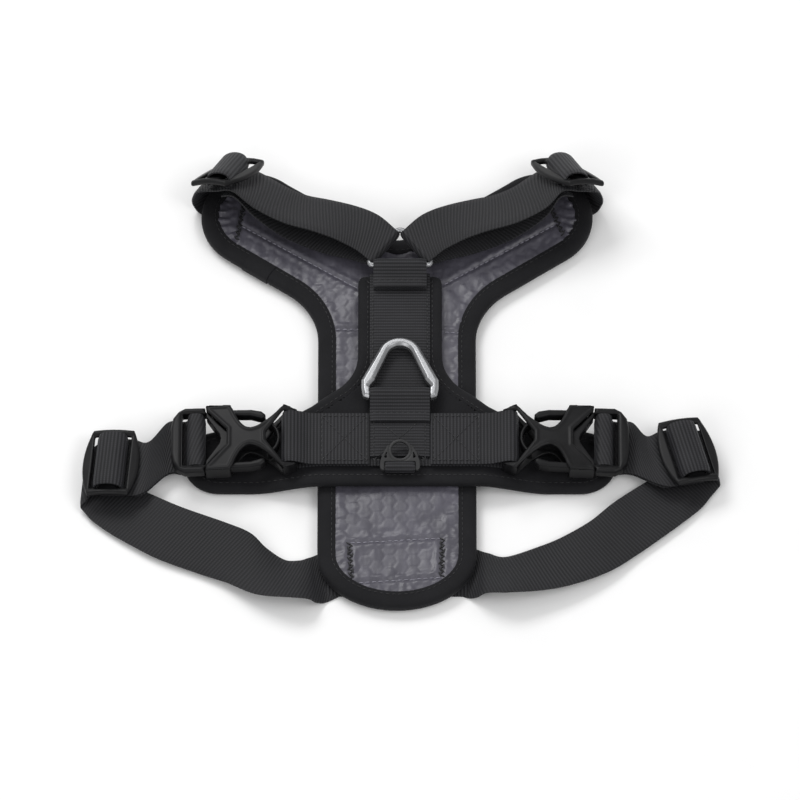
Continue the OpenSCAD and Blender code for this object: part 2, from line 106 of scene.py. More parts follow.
def arc(cx, cy, r, a0, a1, n=24):
    angles = [math.radians(a0 + (a1 - a0) * i / n) for i in range(n + 1)]
    return [(cx + r * math.cos(a), cy + r * math.sin(a)) for a in angles]


def both_sides(left):
    return left + [(-x, y) for x, y in reversed(left)]


def smoothstep(low, high, x):
    s = max(0.0, min(1.0, (x - low) / (high - low)))
    return s * s * (3 - 2 * s)


def drop_at(x):
    """How far the back panel's wings have sunk at x."""
    return DROOP * smoothstep(WING_FLAT_X, WING_LOW_X, abs(x))


def length_along(points):
    run = [0.0]
    for a, b in zip(points, points[1:]):
        run.append(run[-1] + (Vector(b) - Vector(a)).length)
    return run


def even_walk(run, count):
    """For count + 1 even places along a run of lengths: the stretch each is on, and how far along it."""
    out, k = [], 0
    for i in range(count + 1):
        d = run[-1] * i / count
        while k < len(run) - 2 and run[k + 1] < d:
            k += 1
        span = run[k + 1] - run[k]
        out.append((k, (d - run[k]) / span if span > 1e-9 else 0.0))
    return out


def resample(points, step, closed=False):
    """Points at an even spacing along a path."""
    path = list(points) + ([points[0]] if closed else [])
    run = length_along(path)
    count = max(2, round(run[-1] / step))
    out = [Vector(path[k]).lerp(Vector(path[k + 1]), t) for k, t in even_walk(run, count)]
    return out[:-1] if closed else out


def inset(outline, d):
    """A closed outline moved inwards by d. The outline runs clockwise or anticlockwise."""
    count = len(outline)
    area = sum(outline[i][0] * outline[(i + 1) % count][1] - outline[(i + 1) % count][0] * outline[i][1]
               for i in range(count))
    sign = 1.0 if area > 0 else -1.0
    out = []
    for i, p in enumerate(outline):
        a = Vector(p) - Vector(outline[i - 1])
        b = Vector(outline[(i + 1) % count]) - Vector(p)
        a.normalize()
        b.normalize()
        na, nb = Vector((-a.y, a.x)), Vector((-b.y, b.x))
        n = (na + nb).normalized()
        out.append(Vector(p) + n * (sign * d / max(0.5, n.dot(na))))
    return out


def distance_to_segment(p, a, b):
    ab = Vector(b) - Vector(a)
    t = max(0.0, min(1.0, (Vector(p) - Vector(a)).dot(ab) / ab.length_squared))
    return (Vector(a) + ab * t - Vector(p)).length


def inside(p, outline):
    hit = False
    j = len(outline) - 1
    for i in range(len(outline)):
        xi, yi = outline[i][0], outline[i][1]
        xj, yj = outline[j][0], outline[j][1]
        if (yi > p[1]) != (yj > p[1]) and p[0] < (xj - xi) * (p[1] - yi) / (yj - yi) + xi:
            hit = not hit
        j = i
    return hit


def smooth_angle(obj, degrees=40):
    for poly in obj.data.polygons:
        poly.use_smooth = True
    obj.data.set_sharp_from_angle(angle=math.radians(degrees))


def add_object(name, data):
    obj = bpy.data.objects.new(name, data)
    bpy.context.collection.objects.link(obj)
    return obj


def build(name, points, faces, material, body="harness", uv=None, mirror=False):
    """A mesh piece from drawing points. uv holds one pair per point. It rides on body."""
    if mirror:
        points = [(-p[0], p[1], p[2]) for p in points]
        faces = [tuple(reversed(f)) for f in faces]
    mesh = bpy.data.meshes.new(name)
    mesh.from_pydata([world(p) for p in points], [], faces)
    if uv:
        layer = mesh.uv_layers.new(name="weave")
        for loop in mesh.loops:
            layer.data[loop.index].uv = uv[loop.vertex_index]
    mesh.validate()
    mesh.update()
    obj = add_object(name, mesh)
    obj.data.materials.append(material)
    smooth_angle(obj)
    if body:
        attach(obj, body)
    return obj


def loft(rows, size, closed=False):
    """Faces that join rows of size points each, with every row a closed section."""
    faces = []
    for i in range(rows if closed else rows - 1):
        a, b = i * size, (i + 1) % rows * size
        faces += [(a + k, a + (k + 1) % size, b + (k + 1) % size, b + k) for k in range(size)]
    return faces


# ------------------------------------------------------------------ materials

class Shader:
    """A small wrapper that adds nodes and links them."""

    def __init__(self, name):
        self.material = bpy.data.materials.new(name)
        self.material.use_nodes = True
        self.tree = self.material.node_tree
        self.surface = self.tree.nodes["Principled BSDF"]

    def node(self, kind, **inputs):
        made = self.tree.nodes.new(kind)
        for key, value in inputs.items():
            self.feed(made, key.replace("_", " "), value)
        return made

    def feed(self, node, key, value):
        if isinstance(value, bpy.types.NodeSocket):
            self.tree.links.new(value, node.inputs[key])
        else:
            node.inputs[key].default_value = value

    def math(self, operation, *values):
        made = self.tree.nodes.new("ShaderNodeMath")
        made.operation = operation
        for i, value in enumerate(values):
            self.feed(made, i, value)
        return made.outputs[0]

    def noise(self, vector, scale, detail=2.0, rough=0.5):
        made = self.node("ShaderNodeTexNoise", Vector=vector, Scale=scale, Detail=detail,
                         Roughness=rough)
        return made.outputs["Fac"]

    def ramp(self, factor, stops):
        made = self.tree.nodes.new("ShaderNodeValToRGB")
        self.feed(made, "Fac", factor)
        for i, (place, colour) in enumerate(stops):
            stop = made.color_ramp.elements[i] if i < 2 else made.color_ramp.elements.new(place)
            stop.position = place
            stop.color = (*colour, 1)
        return made.outputs["Color"]

    def bump(self, height, distance_m, strength=1.0):
        made = self.node("ShaderNodeBump", Height=height, Distance=distance_m, Strength=strength)
        return made.outputs["Normal"]

    def place(self):
        """Coordinates in metres on the object itself."""
        return self.node("ShaderNodeTexCoord").outputs["Object"]

    def weave(self):
        """The along and across coordinates of a strap, in millimetres."""
        uv = self.tree.nodes.new("ShaderNodeUVMap")
        uv.uv_map = "weave"
        split = self.node("ShaderNodeSeparateXYZ", Vector=uv.outputs["UV"])
        return split.outputs["X"], split.outputs["Y"]

    def wave(self, value, pitch):
        """0 to 1, once every pitch."""
        turned = self.math("MULTIPLY", value, 2 * math.pi / pitch)
        return self.math("MULTIPLY_ADD", self.math("SINE", turned), 0.5, 0.5)

    def finish(self, **inputs):
        for key, value in inputs.items():
            self.feed(self.surface, key.replace("_", " "), value)
        return self.material


def webbing_material(name, low, high, sheen=0.05, twill=0.0):
    """Ribbed nylon webbing: ribs across it, broken into knuckles by the warp. Its colour is darker in the
    grooves, as painted shade, and lighter on the rib and knuckle tops, as painted highlight.
    """
    s = Shader(name)
    along, across = s.weave()
    rib = s.wave(s.math("MULTIPLY_ADD", across, twill, along), RIB_PITCH)
    warp = s.wave(across, WARP_PITCH)
    knuckle = s.math("MULTIPLY", rib, warp)
    height = s.math("ADD", s.math("MULTIPLY", rib, 0.65), s.math("MULTIPLY", knuckle, 0.35))
    fuzz = s.noise(s.place(), 2600, 2)
    height = s.math("ADD", height, s.math("MULTIPLY", fuzz, 0.25))
    patches = s.noise(s.place(), 45, 3)
    # tone: painted shade in the grooves and painted highlight on the rib tops, mixed with random patches
    # of tone
    tone = s.math("ADD", s.math("MULTIPLY", height, 0.62), s.math("MULTIPLY", patches, 0.4))
    colour = s.ramp(tone, [(0.25, low), (0.95, high)])
    rough = s.math("MULTIPLY_ADD", patches, 0.2, 0.5)
    return s.finish(Base_Color=colour, Roughness=rough, Normal=s.bump(height, 0.00022, 0.9),
                    Specular_IOR_Level=0.22, Sheen_Weight=sheen, Sheen_Roughness=0.45,
                    Sheen_Tint=(0.75, 0.77, 0.85, 1))


def cloth_material(name, low, high, thread, sheen=0.04, rough=0.75):
    """A plain fine weave, the same in every direction. Its colour is darker in the gaps between the
    threads, as painted shade.
    """
    s = Shader(name)
    place = s.place()
    split = s.node("ShaderNodeSeparateXYZ", Vector=place)
    a = s.wave(split.outputs["X"], thread * MM)
    b = s.wave(split.outputs["Y"], thread * MM)
    height = s.math("ADD", s.math("MULTIPLY", a, b), s.math("MULTIPLY", s.noise(place, 3000), 0.5))
    patches = s.noise(place, 60, 4)
    # tone: painted shade between the threads, mixed with random patches of tone
    tone = s.math("ADD", s.math("MULTIPLY", height, 0.4), s.math("MULTIPLY", patches, 0.6))
    return s.finish(Base_Color=s.ramp(tone, [(0.3, low), (0.8, high)]), Roughness=rough,
                    Normal=s.bump(height, 0.00012, 0.7), Specular_IOR_Level=0.18,
                    Sheen_Weight=sheen, Sheen_Roughness=0.5, Sheen_Tint=(0.8, 0.8, 0.85, 1))


def lining_material():
    """Satin that catches the light on its folds."""
    s = Shader("lining_satin")
    place = s.place()
    patches = s.noise(place, 38, 4, 0.6)
    streaks = s.noise(s.node("ShaderNodeMapping", Vector=place, Scale=(420, 70, 70)).outputs[0], 1, 3)
    tone = s.math("ADD", s.math("MULTIPLY", patches, 0.65), s.math("MULTIPLY", streaks, 0.35))
    colour = s.ramp(tone, [(0.3, (0.050, 0.048, 0.061)), (0.72, (0.094, 0.090, 0.115))])
    rough = s.math("MULTIPLY_ADD", streaks, 0.22, 0.30)
    weave = s.noise(place, 2400, 1)
    return s.finish(Base_Color=colour, Roughness=rough, Normal=s.bump(weave, 0.00005, 0.6),
                    Specular_IOR_Level=0.6, Sheen_Weight=0.08, Sheen_Roughness=0.35,
                    Sheen_Tint=(0.8, 0.78, 0.95, 1))


def plastic_material(name, low, high):
    s = Shader(name)
    place = s.place()
    grain = s.noise(place, 1500, 3, 0.6)
    wear = s.noise(place, 90, 4, 0.55)
    colour = s.ramp(wear, [(0.3, low), (0.75, high)])
    rough = s.math("MULTIPLY_ADD", wear, 0.2, 0.33)
    return s.finish(Base_Color=colour, Roughness=rough, Normal=s.bump(grain, 0.00003, 0.5),
                    Specular_IOR_Level=0.2)


def metal_material():
    s = Shader("satin_aluminium")
    place = s.place()
    blast = s.noise(place, 2200, 2)
    cloud = s.noise(place, 120, 4)
    colour = s.ramp(cloud, [(0.3, (0.31, 0.315, 0.325)), (0.8, (0.40, 0.405, 0.415))])
    rough = s.math("MULTIPLY_ADD", cloud, 0.16, 0.27)
    return s.finish(Base_Color=colour, Roughness=rough, Normal=s.bump(blast, 0.00004, 0.5),
                    Metallic=0.9)


def thread_material(name, low, high):
    s = Shader(name)
    twist = s.noise(s.place(), 1900, 2)
    return s.finish(Base_Color=s.ramp(twist, [(0.3, low), (0.7, high)]), Roughness=0.55,
                    Sheen_Weight=0.2, Sheen_Roughness=0.4)


def floor_material():
    s = Shader("pale_floor")
    speck = s.noise(s.place(), 30, 2)
    return s.finish(Base_Color=s.ramp(speck, [(0.3, (0.93, 0.93, 0.93)), (0.7, (0.95, 0.95, 0.95))]),
                    Roughness=0.9, Specular_IOR_Level=0.1)


# For the webbings, the first colour is the painted shade of the grooves and the second the painted
# highlight of the rib tops.
webbing = webbing_material("webbing", (0.005, 0.005, 0.006), (0.036, 0.036, 0.040))
strap_webbing = webbing_material("strap_webbing", (0.010, 0.010, 0.011), (0.029, 0.029, 0.032),
                                 twill=0.35)
# For these cloths, the darker colour is also painted shade in the gaps between the threads.
binding_tape = cloth_material("binding_tape", (0.005, 0.005, 0.006), (0.013, 0.013, 0.015), 0.5)
shell_fabric = cloth_material("shell_fabric", (0.004, 0.004, 0.005), (0.010, 0.010, 0.012), 0.6)
foam_stuff = cloth_material("foam_stuff", (0.10, 0.10, 0.11), (0.17, 0.17, 0.18), 0.9, rough=0.9)
lining = lining_material()
plastic = plastic_material("moulded_plastic", (0.0045, 0.0045, 0.005), (0.009, 0.009, 0.010))
grey_plastic = plastic_material("grey_plastic", (0.028, 0.028, 0.029), (0.048, 0.048, 0.049))
metal = metal_material()
dark_thread = thread_material("dark_thread", (0.005, 0.005, 0.006), (0.017, 0.017, 0.019))
black_thread = thread_material("black_thread", (0.003, 0.003, 0.004), (0.009, 0.009, 0.011))
pale_thread = thread_material("pale_thread", (0.16, 0.155, 0.19), (0.34, 0.33, 0.39))


# ------------------------------------------------------------------ panels

CHEST_X = -1.5
CHEST_HALF = 39.5
CHEST_BIND = 9.0
BACK_BIND = 6.5
BACK_HALF = 21.0
SPINE_END_Y = 64.0

chest_left = (
    [(CHEST_HALF * math.cos(math.radians(a)), -98 + 31 * math.sin(math.radians(a)))
     for a in range(270, 179, -5)]
    + arc(-CHEST_HALF - 35, 29, 35, 0, 58)
    + arc(-68.8, 104, 30, 238, 183, 12)
    + arc(-72.8, 104, 26, 180, 48)
    + arc(0, 104.5, 15, 228, 270, 8)[:-1])
chest_outline = [(x + CHEST_X, y) for x, y in both_sides(chest_left[1:])]
chest_outline.append((CHEST_X, -129.0))
chest_outline.insert(len(chest_left) - 1, (CHEST_X, 89.5))

back_left = (
    arc(-BACK_HALF + 3, SPINE_END_Y - 3, 3, 90, 180, 6)
    + arc(-BACK_HALF - 26, 17, 26, 0, -60)
    + [(-44, -13.5), (-54, -18), (-88, -24)]
    + arc(-90, -42, 18, 96, 270, 30))
back_outline = both_sides(back_left)


def soft_outline(outline, step, passes=2):
    """An even outline with its small corners eased."""
    pts = resample(outline, step, closed=True)
    for _ in range(passes):
        pts = [(pts[i - 1] + pts[i] * 2 + pts[(i + 1) % len(pts)]) / 4 for i in range(len(pts))]
    return pts


chest_edge = soft_outline(chest_outline, 1.5)
back_edge = soft_outline(back_outline, 1.5)


def level(x, y):
    return 0.0


def winged(x, y):
    return -drop_at(x)


def binding(name, edge, section, lift, node):
    """Edge tape folded round a panel. section is a closed list of (inset, height)."""
    rings = [inset(edge, d) for d, _ in section]
    count = len(edge)
    points = []
    run = length_along(edge)
    for (d, z), ring in zip(section, rings):
        for i, p in enumerate(ring):
            pucker = 0.10 * math.sin(run[i] * 1.9) * (1 if z > section[0][1] - 1 else 0.3)
            points.append((p.x, p.y, z + pucker * min(1.0, d / 3) + lift(p.x, p.y)))
    faces = loft(len(section), count, closed=True)
    obj = build(name, points, faces, binding_tape)
    tidy_normals(obj)
    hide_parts(node)


def binding_overlap(near, reach):
    """The tape's tail, lapped over its start and a little proud of it."""
    count = len(chest_edge)
    middle = min(range(count), key=lambda i: (chest_edge[i] - Vector(near)).length)
    width, low, top = CHEST_BIND, CHEST_LOW - 0.3, CHEST_TOP + 0.45
    section = [(d - 0.35, z) for d, z in tape_section(width, low, top)]
    rings = [inset(chest_edge, d) for d, _ in section]
    points, m = [], len(section)
    span = range(middle - reach, middle + reach + 1)
    for i in span:
        points += [(ring[i % count].x, ring[i % count].y, z) for (_, z), ring in zip(section, rings)]
    faces = loft(len(span), m) + [tuple(range(m)), tuple(reversed(range(len(points) - m, len(points))))]
    tidy_normals(build("chest_binding_overlap", points, faces, binding_tape))


def tidy_normals(obj):
    bm = bmesh.new()
    bm.from_mesh(obj.data)
    bmesh.ops.recalc_face_normals(bm, faces=bm.faces)
    bm.to_mesh(obj.data)
    bm.free()
    smooth_angle(obj)


def tape_section(width, low, top, bulge=0.25):
    """Closed section of folded tape, from the inner top edge round the outside and back."""
    mid = (low + top) / 2
    return [
        (width, top - 0.75), (width - 0.1, top - 0.1), (width - 0.8, top + 0.05),
        (width - 2.6, top + bulge * 0.5), (width / 2, top + bulge), (2.2, top + 0.05),
        (0.9, top - 0.5), (0.2, top - 1.3), (0.0, mid), (0.2, low + 1.2), (0.9, low + 0.5),
        (2.2, low + 0.05), (width / 2, low), (width - 0.8, low), (width, low + 0.5)]


# Quilting lines of the chest lining, each from start to end. BARTACKS lists the close, dark ones.
QUILTING = [
    ((-80, 97.7), (-21, 59.6)), ((78, 98.3), (22, 62)),
    ((-78.5, 111.4), (-82.5, 88.8)), ((76, 109), (82.5, 91.8)),
    ((-36, 35.3), (-19, 35.3)), ((22, 33.5), (34, 33.0)),
    ((-25, -91.5), (21, -88.5)), ((-24, -115), (20.5, -111.5)),
    ((-25, -91.5), (-24, -115)), ((21, -88.5), (20.5, -111.5)),
]
BARTACKS = (2, 3, 8, 9)
HEX_PITCH_X, HEX_PITCH_Y = 6.0, 7.0


def hex_groove(x, y):
    """0 in the middle of an embossed hexagon, 1 on its edge."""
    best, second = 1e9, 1e9
    col = math.floor(x / HEX_PITCH_X)
    for i in (col - 1, col, col + 1, col + 2):
        shift = 0.5 * HEX_PITCH_Y if i % 2 else 0.0
        row = math.floor((y - shift) / HEX_PITCH_Y)
        for j in (row, row + 1):
            cx, cy = i * HEX_PITCH_X, j * HEX_PITCH_Y + shift
            d = math.hypot(x - cx, y - cy)
            if d < best:
                best, second = d, best
            elif d < second:
                second = d
    return 1.0 - smoothstep(0.0, 1.1, second - best)


def quilt_distance(x, y):
    return min(distance_to_segment((x, y), a, b) for a, b in QUILTING)


def wrinkle(x, y, size, seed):
    return noise.noise(Vector((x / size, y / size, seed)))


def grid_in(outline, step):
    """Square grid points and faces that lie inside an outline."""
    xs = [p[0] for p in outline]
    ys = [p[1] for p in outline]
    nx = int((max(xs) - min(xs)) / step) + 2
    ny = int((max(ys) - min(ys)) / step) + 2
    rows = []
    for j in range(ny + 1):
        y = min(ys) + j * step
        cuts = []
        for k in range(len(outline)):
            a, b = outline[k - 1], outline[k]
            if (a[1] > y) != (b[1] > y):
                cuts.append(a[0] + (y - a[1]) * (b[0] - a[0]) / (b[1] - a[1]))
        cuts.sort()
        rows.append([any(cuts[c] < min(xs) + i * step < cuts[c + 1]
                         for c in range(0, len(cuts) - 1, 2)) for i in range(nx + 1)])
    index, points = {}, []
    for j in range(ny + 1):
        for i in range(nx + 1):
            if rows[j][i]:
                index[(i, j)] = len(points)
                points.append((min(xs) + i * step, min(ys) + j * step))
    faces = []
    for (i, j), a in index.items():
        b, c, d = index.get((i + 1, j)), index.get((i + 1, j + 1)), index.get((i, j + 1))
        if None not in (b, c, d):
            faces.append((a, b, c, d))
    used = sorted({v for f in faces for v in f})
    renumber = {v: k for k, v in enumerate(used)}
    return [points[v] for v in used], [tuple(renumber[v] for v in f) for f in faces]


def simulate_lining(outline, top):
    """A slack sheet pinned at its border and along the quilting, puffed up by the foam.

    Returns a function that gives the height of the settled cloth over any place."""
    step = 2.4
    flat, faces = grid_in(outline, step)
    border = inset(outline, 1.5)
    mesh = bpy.data.meshes.new("lining_cloth")
    mesh.from_pydata([world((x, y, top)) for x, y in flat], [], faces)
    obj = add_object("lining_cloth", mesh)
    pins = obj.vertex_groups.new(name="pins")
    for k, (x, y) in enumerate(flat):
        held = quilt_distance(x, y) < step * 0.55 or not inside((x, y), border)
        if held:
            pins.add([k], 1.0, "REPLACE")
        bump = 0.25 * wrinkle(x, y, 9.0, 4.0)
        if not held:
            mesh.vertices[k].co.z += (0.3 + bump) * MM
    cloth = obj.modifiers.new("cloth", "CLOTH")
    settings = cloth.settings
    settings.quality = 6
    settings.mass = 0.12
    settings.tension_stiffness = 12
    settings.compression_stiffness = 12
    settings.shear_stiffness = 6
    settings.bending_stiffness = 0.02
    settings.shrink_min = -0.02
    settings.use_pressure = True
    settings.uniform_pressure_force = 1.0
    settings.vertex_group_mass = "pins"
    settings.effector_weights.gravity = 0
    cloth.point_cache.frame_start = 1
    cloth.point_cache.frame_end = 24
    scene = bpy.context.scene
    for f in range(1, 25):
        scene.frame_set(f)
    settled = obj.evaluated_get(bpy.context.evaluated_depsgraph_get()).to_mesh()
    heights = {}
    x0 = min(p[0] for p in flat)
    y0 = min(p[1] for p in flat)
    for k, (x, y) in enumerate(flat):
        key = (round((x - x0) / step), round((y - y0) / step))
        heights[key] = max(-0.2, min(1.3, settled.vertices[k].co.z / MM - top))
    scene.frame_set(1)
    bpy.data.objects.remove(obj)

    def height(x, y):
        u, v = (x - x0) / step, (y - y0) / step
        i, j = math.floor(u), math.floor(v)
        fu, fv = u - i, v - j
        value = 0.0
        for di, wi in ((0, 1 - fu), (1, fu)):
            for dj, wj in ((0, 1 - fv), (1, fv)):
                value += wi * wj * heights.get((i + di, j + dj), 0.0)
        return value
    return height


# Height of the chest lining where nothing puffs it up or draws it in
LINING_REST = 6.65


def chest_lining_height(puff, border):
    """Height of the lining: slack cloth, drawn in by its seams and by the binding at its border."""
    tree = kdtree.KDTree(len(border))
    for i, p in enumerate(border):
        tree.insert((p.x, p.y, 0), i)
    tree.balance()

    def height(x, y):
        near = quilt_distance(x, y)
        seam = 1 - smoothstep(0, 1.5, near)
        welt = 0.30 * math.exp(-((near - 2.3) / 1.3) ** 2)
        _, k, rim = tree.find((x, y, 0))
        drawn = math.sin(k * 1.55 + 2.6 * wrinkle(x, y, 8.0, 2.0)) * (1 - smoothstep(1.5, 8.0, rim))
        tip = smoothstep(0, 3, abs(x - CHEST_X) - 80) * smoothstep(0, 2.5, near)
        radial = math.sin(1.35 * y + 0.25 * abs(x) + 2.2 * wrinkle(x, y, 9.0, 6.0)) * tip
        folds = 0.07 * wrinkle(x, y, 4.5, 1.0) + 0.03 * wrinkle(x, y, 2.0, 7.0)
        creases = 0.10 * wrinkle(x * 2.6, y * 0.45, 3.4, 3.0)
        pucker = 0.16 * math.sin(1.25 * (x - 0.6 * y)) * (1 - smoothstep(1.0, 6.0, near))
        emboss = 0.23 * hex_groove(x - 0.7, y + 0.5)
        slack = folds + pucker + creases + 0.20 * drawn + 0.34 * radial + welt
        return LINING_REST + 0.6 * puff(x, y) + slack * (1 - seam) - emboss - 0.45 * seam
    return height


def panel_sheet(name, outline, step, height, material, node, thickness=-0.5):
    """A fine sheet over a panel. height(x, y) gives its upper face, and it has a thickness."""
    flat, faces = grid_in(outline, step)
    points = [(x, y, height(x, y)) for x, y in flat]
    obj = build(name, points, faces, material, uv=[(x, y) for x, y in flat])
    shell = obj.modifiers.new("thickness", "SOLIDIFY")
    shell.thickness = abs(thickness) * MM
    shell.offset = -1 if thickness < 0 else 1
    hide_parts(node)
    return obj


def make_panels():
    chest_inner = inset(chest_edge, CHEST_BIND - 1.2)
    back_inner = inset(back_edge, BACK_BIND - 1.2)
    puff = simulate_lining(chest_inner, 6.75)
    binding("chest_binding_tape", chest_edge, tape_section(CHEST_BIND, CHEST_LOW, CHEST_TOP),
            level, "chest_binding")
    binding_overlap((-73, 69.5), 5)
    binding("back_binding_tape", back_edge, tape_section(BACK_BIND, BACK_LOW, BACK_TOP, 0.15),
            winged, "back_binding")
    lining_height = chest_lining_height(puff, inset(chest_edge, CHEST_BIND))
    satin = panel_sheet("chest_lining_satin", chest_inner, 0.75, lining_height, lining,
                        "chest_lining")
    panel_sheet("chest_shell_cloth", chest_inner, 3.0,
                lambda x, y: CHEST_LOW + 0.1 + 0.12 * wrinkle(x, y, 14, 3), shell_fabric,
                "chest_outer_shell", 0.6)
    pad = panel_sheet("chest_foam_pad", inset(chest_edge, CHEST_BIND - 0.8), 3.0,
                      lambda x, y: 5.8 - 0.6 * (1 - smoothstep(0, 3, quilt_distance(x, y))),
                      foam_stuff, "chest_foam", -3.2)
    panel_sheet("back_shell_cloth", back_inner, 1.5,
                lambda x, y: BACK_TOP - 0.15 + 0.12 * wrinkle(x, y, 11, 5) + winged(x, y),
                shell_fabric, "back_outer_shell")
    pad = panel_sheet("back_foam_pad", inset(back_edge, BACK_BIND - 0.8), 3.0,
                      lambda x, y: BACK_TOP - 0.8 + winged(x, y), foam_stuff, "back_foam",
                      -2.8)
    panel_sheet("back_lining_satin", back_inner, 1.2,
                lambda x, y: (BACK_LOW + 0.1 + 0.15 * hex_groove(x, y)
                              + 0.1 * wrinkle(x, y, 6, 9) + winged(x, y)),
                lining, "back_lining", 0.5)
    return lining_height


# ------------------------------------------------------------------ webbing

def spline(a, b, c, d, t):
    return [0.5 * (2 * q + (r - p) * t + (2 * p - 5 * q + 4 * r - s) * t * t
                   + (3 * q - p - 3 * r + s) * t ** 3) for p, q, r, s in zip(a, b, c, d)]


def smooth_stations(stations, n=24):
    last = len(stations) - 1
    out = []
    for i in range(last):
        a, b = stations[max(0, i - 1)], stations[i]
        c, d = stations[i + 1], stations[min(last, i + 2)]
        out += [spline(a, b, c, d, k / n) for k in range(n)]
    return out + [list(stations[-1])]


def even_stations(stations, step):
    """The same stations, but a step apart along the strap."""
    run = length_along([s[:3] for s in stations])
    return [[p + (q - p) * t for p, q in zip(stations[k], stations[k + 1])]
            for k, t in even_walk(run, round(run[-1] / step))]


def webbing_section(half_t, columns=12):
    """Closed section across a strap, as [share of the half-width, height, rib share]."""
    out = []
    for side in (1, -1):
        for i in range(columns + 1):
            v = side * (2 * i / columns - 1) * -1
            round_off = smoothstep(0.955, 1.0, abs(v))
            out.append((v, side * half_t * (1 - 0.55 * round_off), 1 - smoothstep(0.90, 0.97, abs(v))))
    return out


RING_STEP = RIB_PITCH / 4


def strap(name, stations, node, material=webbing, thickness=WEB_T, mirror=False, body="harness",
          rows=24, rib_depth=0.11):
    """A ribbed strap through stations [x, y, z, heading, roll, width]."""
    fine = even_stations(smooth_stations(stations, rows), RING_STEP)
    section = webbing_section(thickness / 2)
    points, uv = [], []
    for i, s in enumerate(fine):
        a, b = fine[max(0, i - 1)], fine[min(len(fine) - 1, i + 1)]
        along = (Vector(b[:3]) - Vector(a[:3])).normalized()
        az, roll = math.radians(s[3]), math.radians(s[4])
        w = Vector((math.cos(az) * math.cos(roll), math.sin(az) * math.cos(roll), math.sin(roll)))
        n = along.cross(w).normalized()
        rib = math.cos(2 * math.pi * i * RING_STEP / RIB_PITCH)
        half = s[5] / 2
        for v, h, share in section:
            lift = h + math.copysign(rib_depth * rib * share * 0.5, h)
            edge = 0.12 * rib * (1 - share)
            points.append(Vector(s[:3]) + w * (half * v + math.copysign(edge, v)) + n * lift)
            uv.append((i * RING_STEP, half * v))
    m = len(section)
    faces = loft(len(fine), m)
    faces.append(tuple(reversed(range(m))))
    faces.append(tuple(range((len(fine) - 1) * m, len(fine) * m)))
    obj = build(name, points, faces, material, body=body, uv=uv, mirror=mirror)
    tidy_normals(obj)
    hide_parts(node)
    return obj


def eased(path, step=0.8, passes=3):
    """A dense path with its corners eased."""
    pts = resample(path, step)
    for _ in range(passes):
        inner = [(pts[i - 1] + pts[i] * 2 + pts[i + 1]) / 4 for i in range(1, len(pts) - 1)]
        pts = [pts[0]] + inner + [pts[-1]]
    return pts


def in_xz(path, y, width):
    """Stations of a strap that follows an XZ path, with its width along Y."""
    return [[p[0], y, p[1], 90, 0, width] for p in eased(path)]


def in_yz(path, x, width):
    """Stations of a strap that follows a YZ path, with its width along X."""
    return [[x, p[0], p[1], 0, 0, width] for p in eased(path)]


def in_hardware(at, path, width):
    """Stations of a strap that follows a path [u, w] in a piece of hardware's own frame."""
    out = []
    for u, w in path:
        c = in_frame(at, (u, 0, w))
        out.append([c.x, c.y, c.z, 90 + at[1][2], at[1][0], width])
    return out


BUCKLE_BAR = in_frame(BUCKLE_AT, (43, 0, 0))
PLY_GAP = 0.1
STRAP_T = 1.3
BAR_WRAP_R = 3.3


def cross_path():
    """The cross web: over the top, round a buckle's bar, and back along the wing below."""
    folded = PATCH_Z + PLY_GAP
    half = [(15.2, folded), (42, folded), (46, folded + 0.4), (50.5, folded + 2.2)]
    half += arc(-BUCKLE_BAR.x, BUCKLE_BAR.z, BAR_WRAP_R, 100, -90, 24)
    half += [(x, SPINE_Z + 0.05 - drop_at(x)) for x in range(50, 1, -2)]
    return half + [(-x, z) for x, z in reversed(half)]


def leash_path():
    wrap = LEASH_BAR[1] - PATCH_Z
    return ([(-46, PATCH_Z), (-22, PATCH_Z)] + arc(*LEASH_BAR, wrap, -90, 110)
            + [(-17.5, PATCH_Z + 3.6), (-20.5, PATCH_Z + 1.9), (-26, PATCH_Z + 1.7)])


def neck_loop_path():
    wrap = NECK_BAR[1] - PATCH_Z
    return ([(54, PATCH_Z), (60, PATCH_Z)] + arc(*NECK_BAR, wrap, -90, 110)
            + [(62, PATCH_Z + 3.4), (59, PATCH_Z + 1.9), (54, PATCH_Z + 1.7)])


def tag_path():
    wrap = 2.1
    return ([(-47.3, PATCH_Z + 0.3), (-51, PATCH_Z - 0.1)] + arc(*TAG_BAR, wrap, -45, -315)
            + [(-50.6, TAG_BAR[1] + 1.4), (-48.6, TAG_BAR[1] + 0.2)])


FOLD_SHARE = 0.47
NECK_HALF, NECK_HEIGHT, NECK_R = 17.0, 23.0, 1.5
FOLD_WEB_W = 22.5
FOLD_HEADING = math.degrees(math.atan2(NECK_HEIGHT, NECK_HALF))


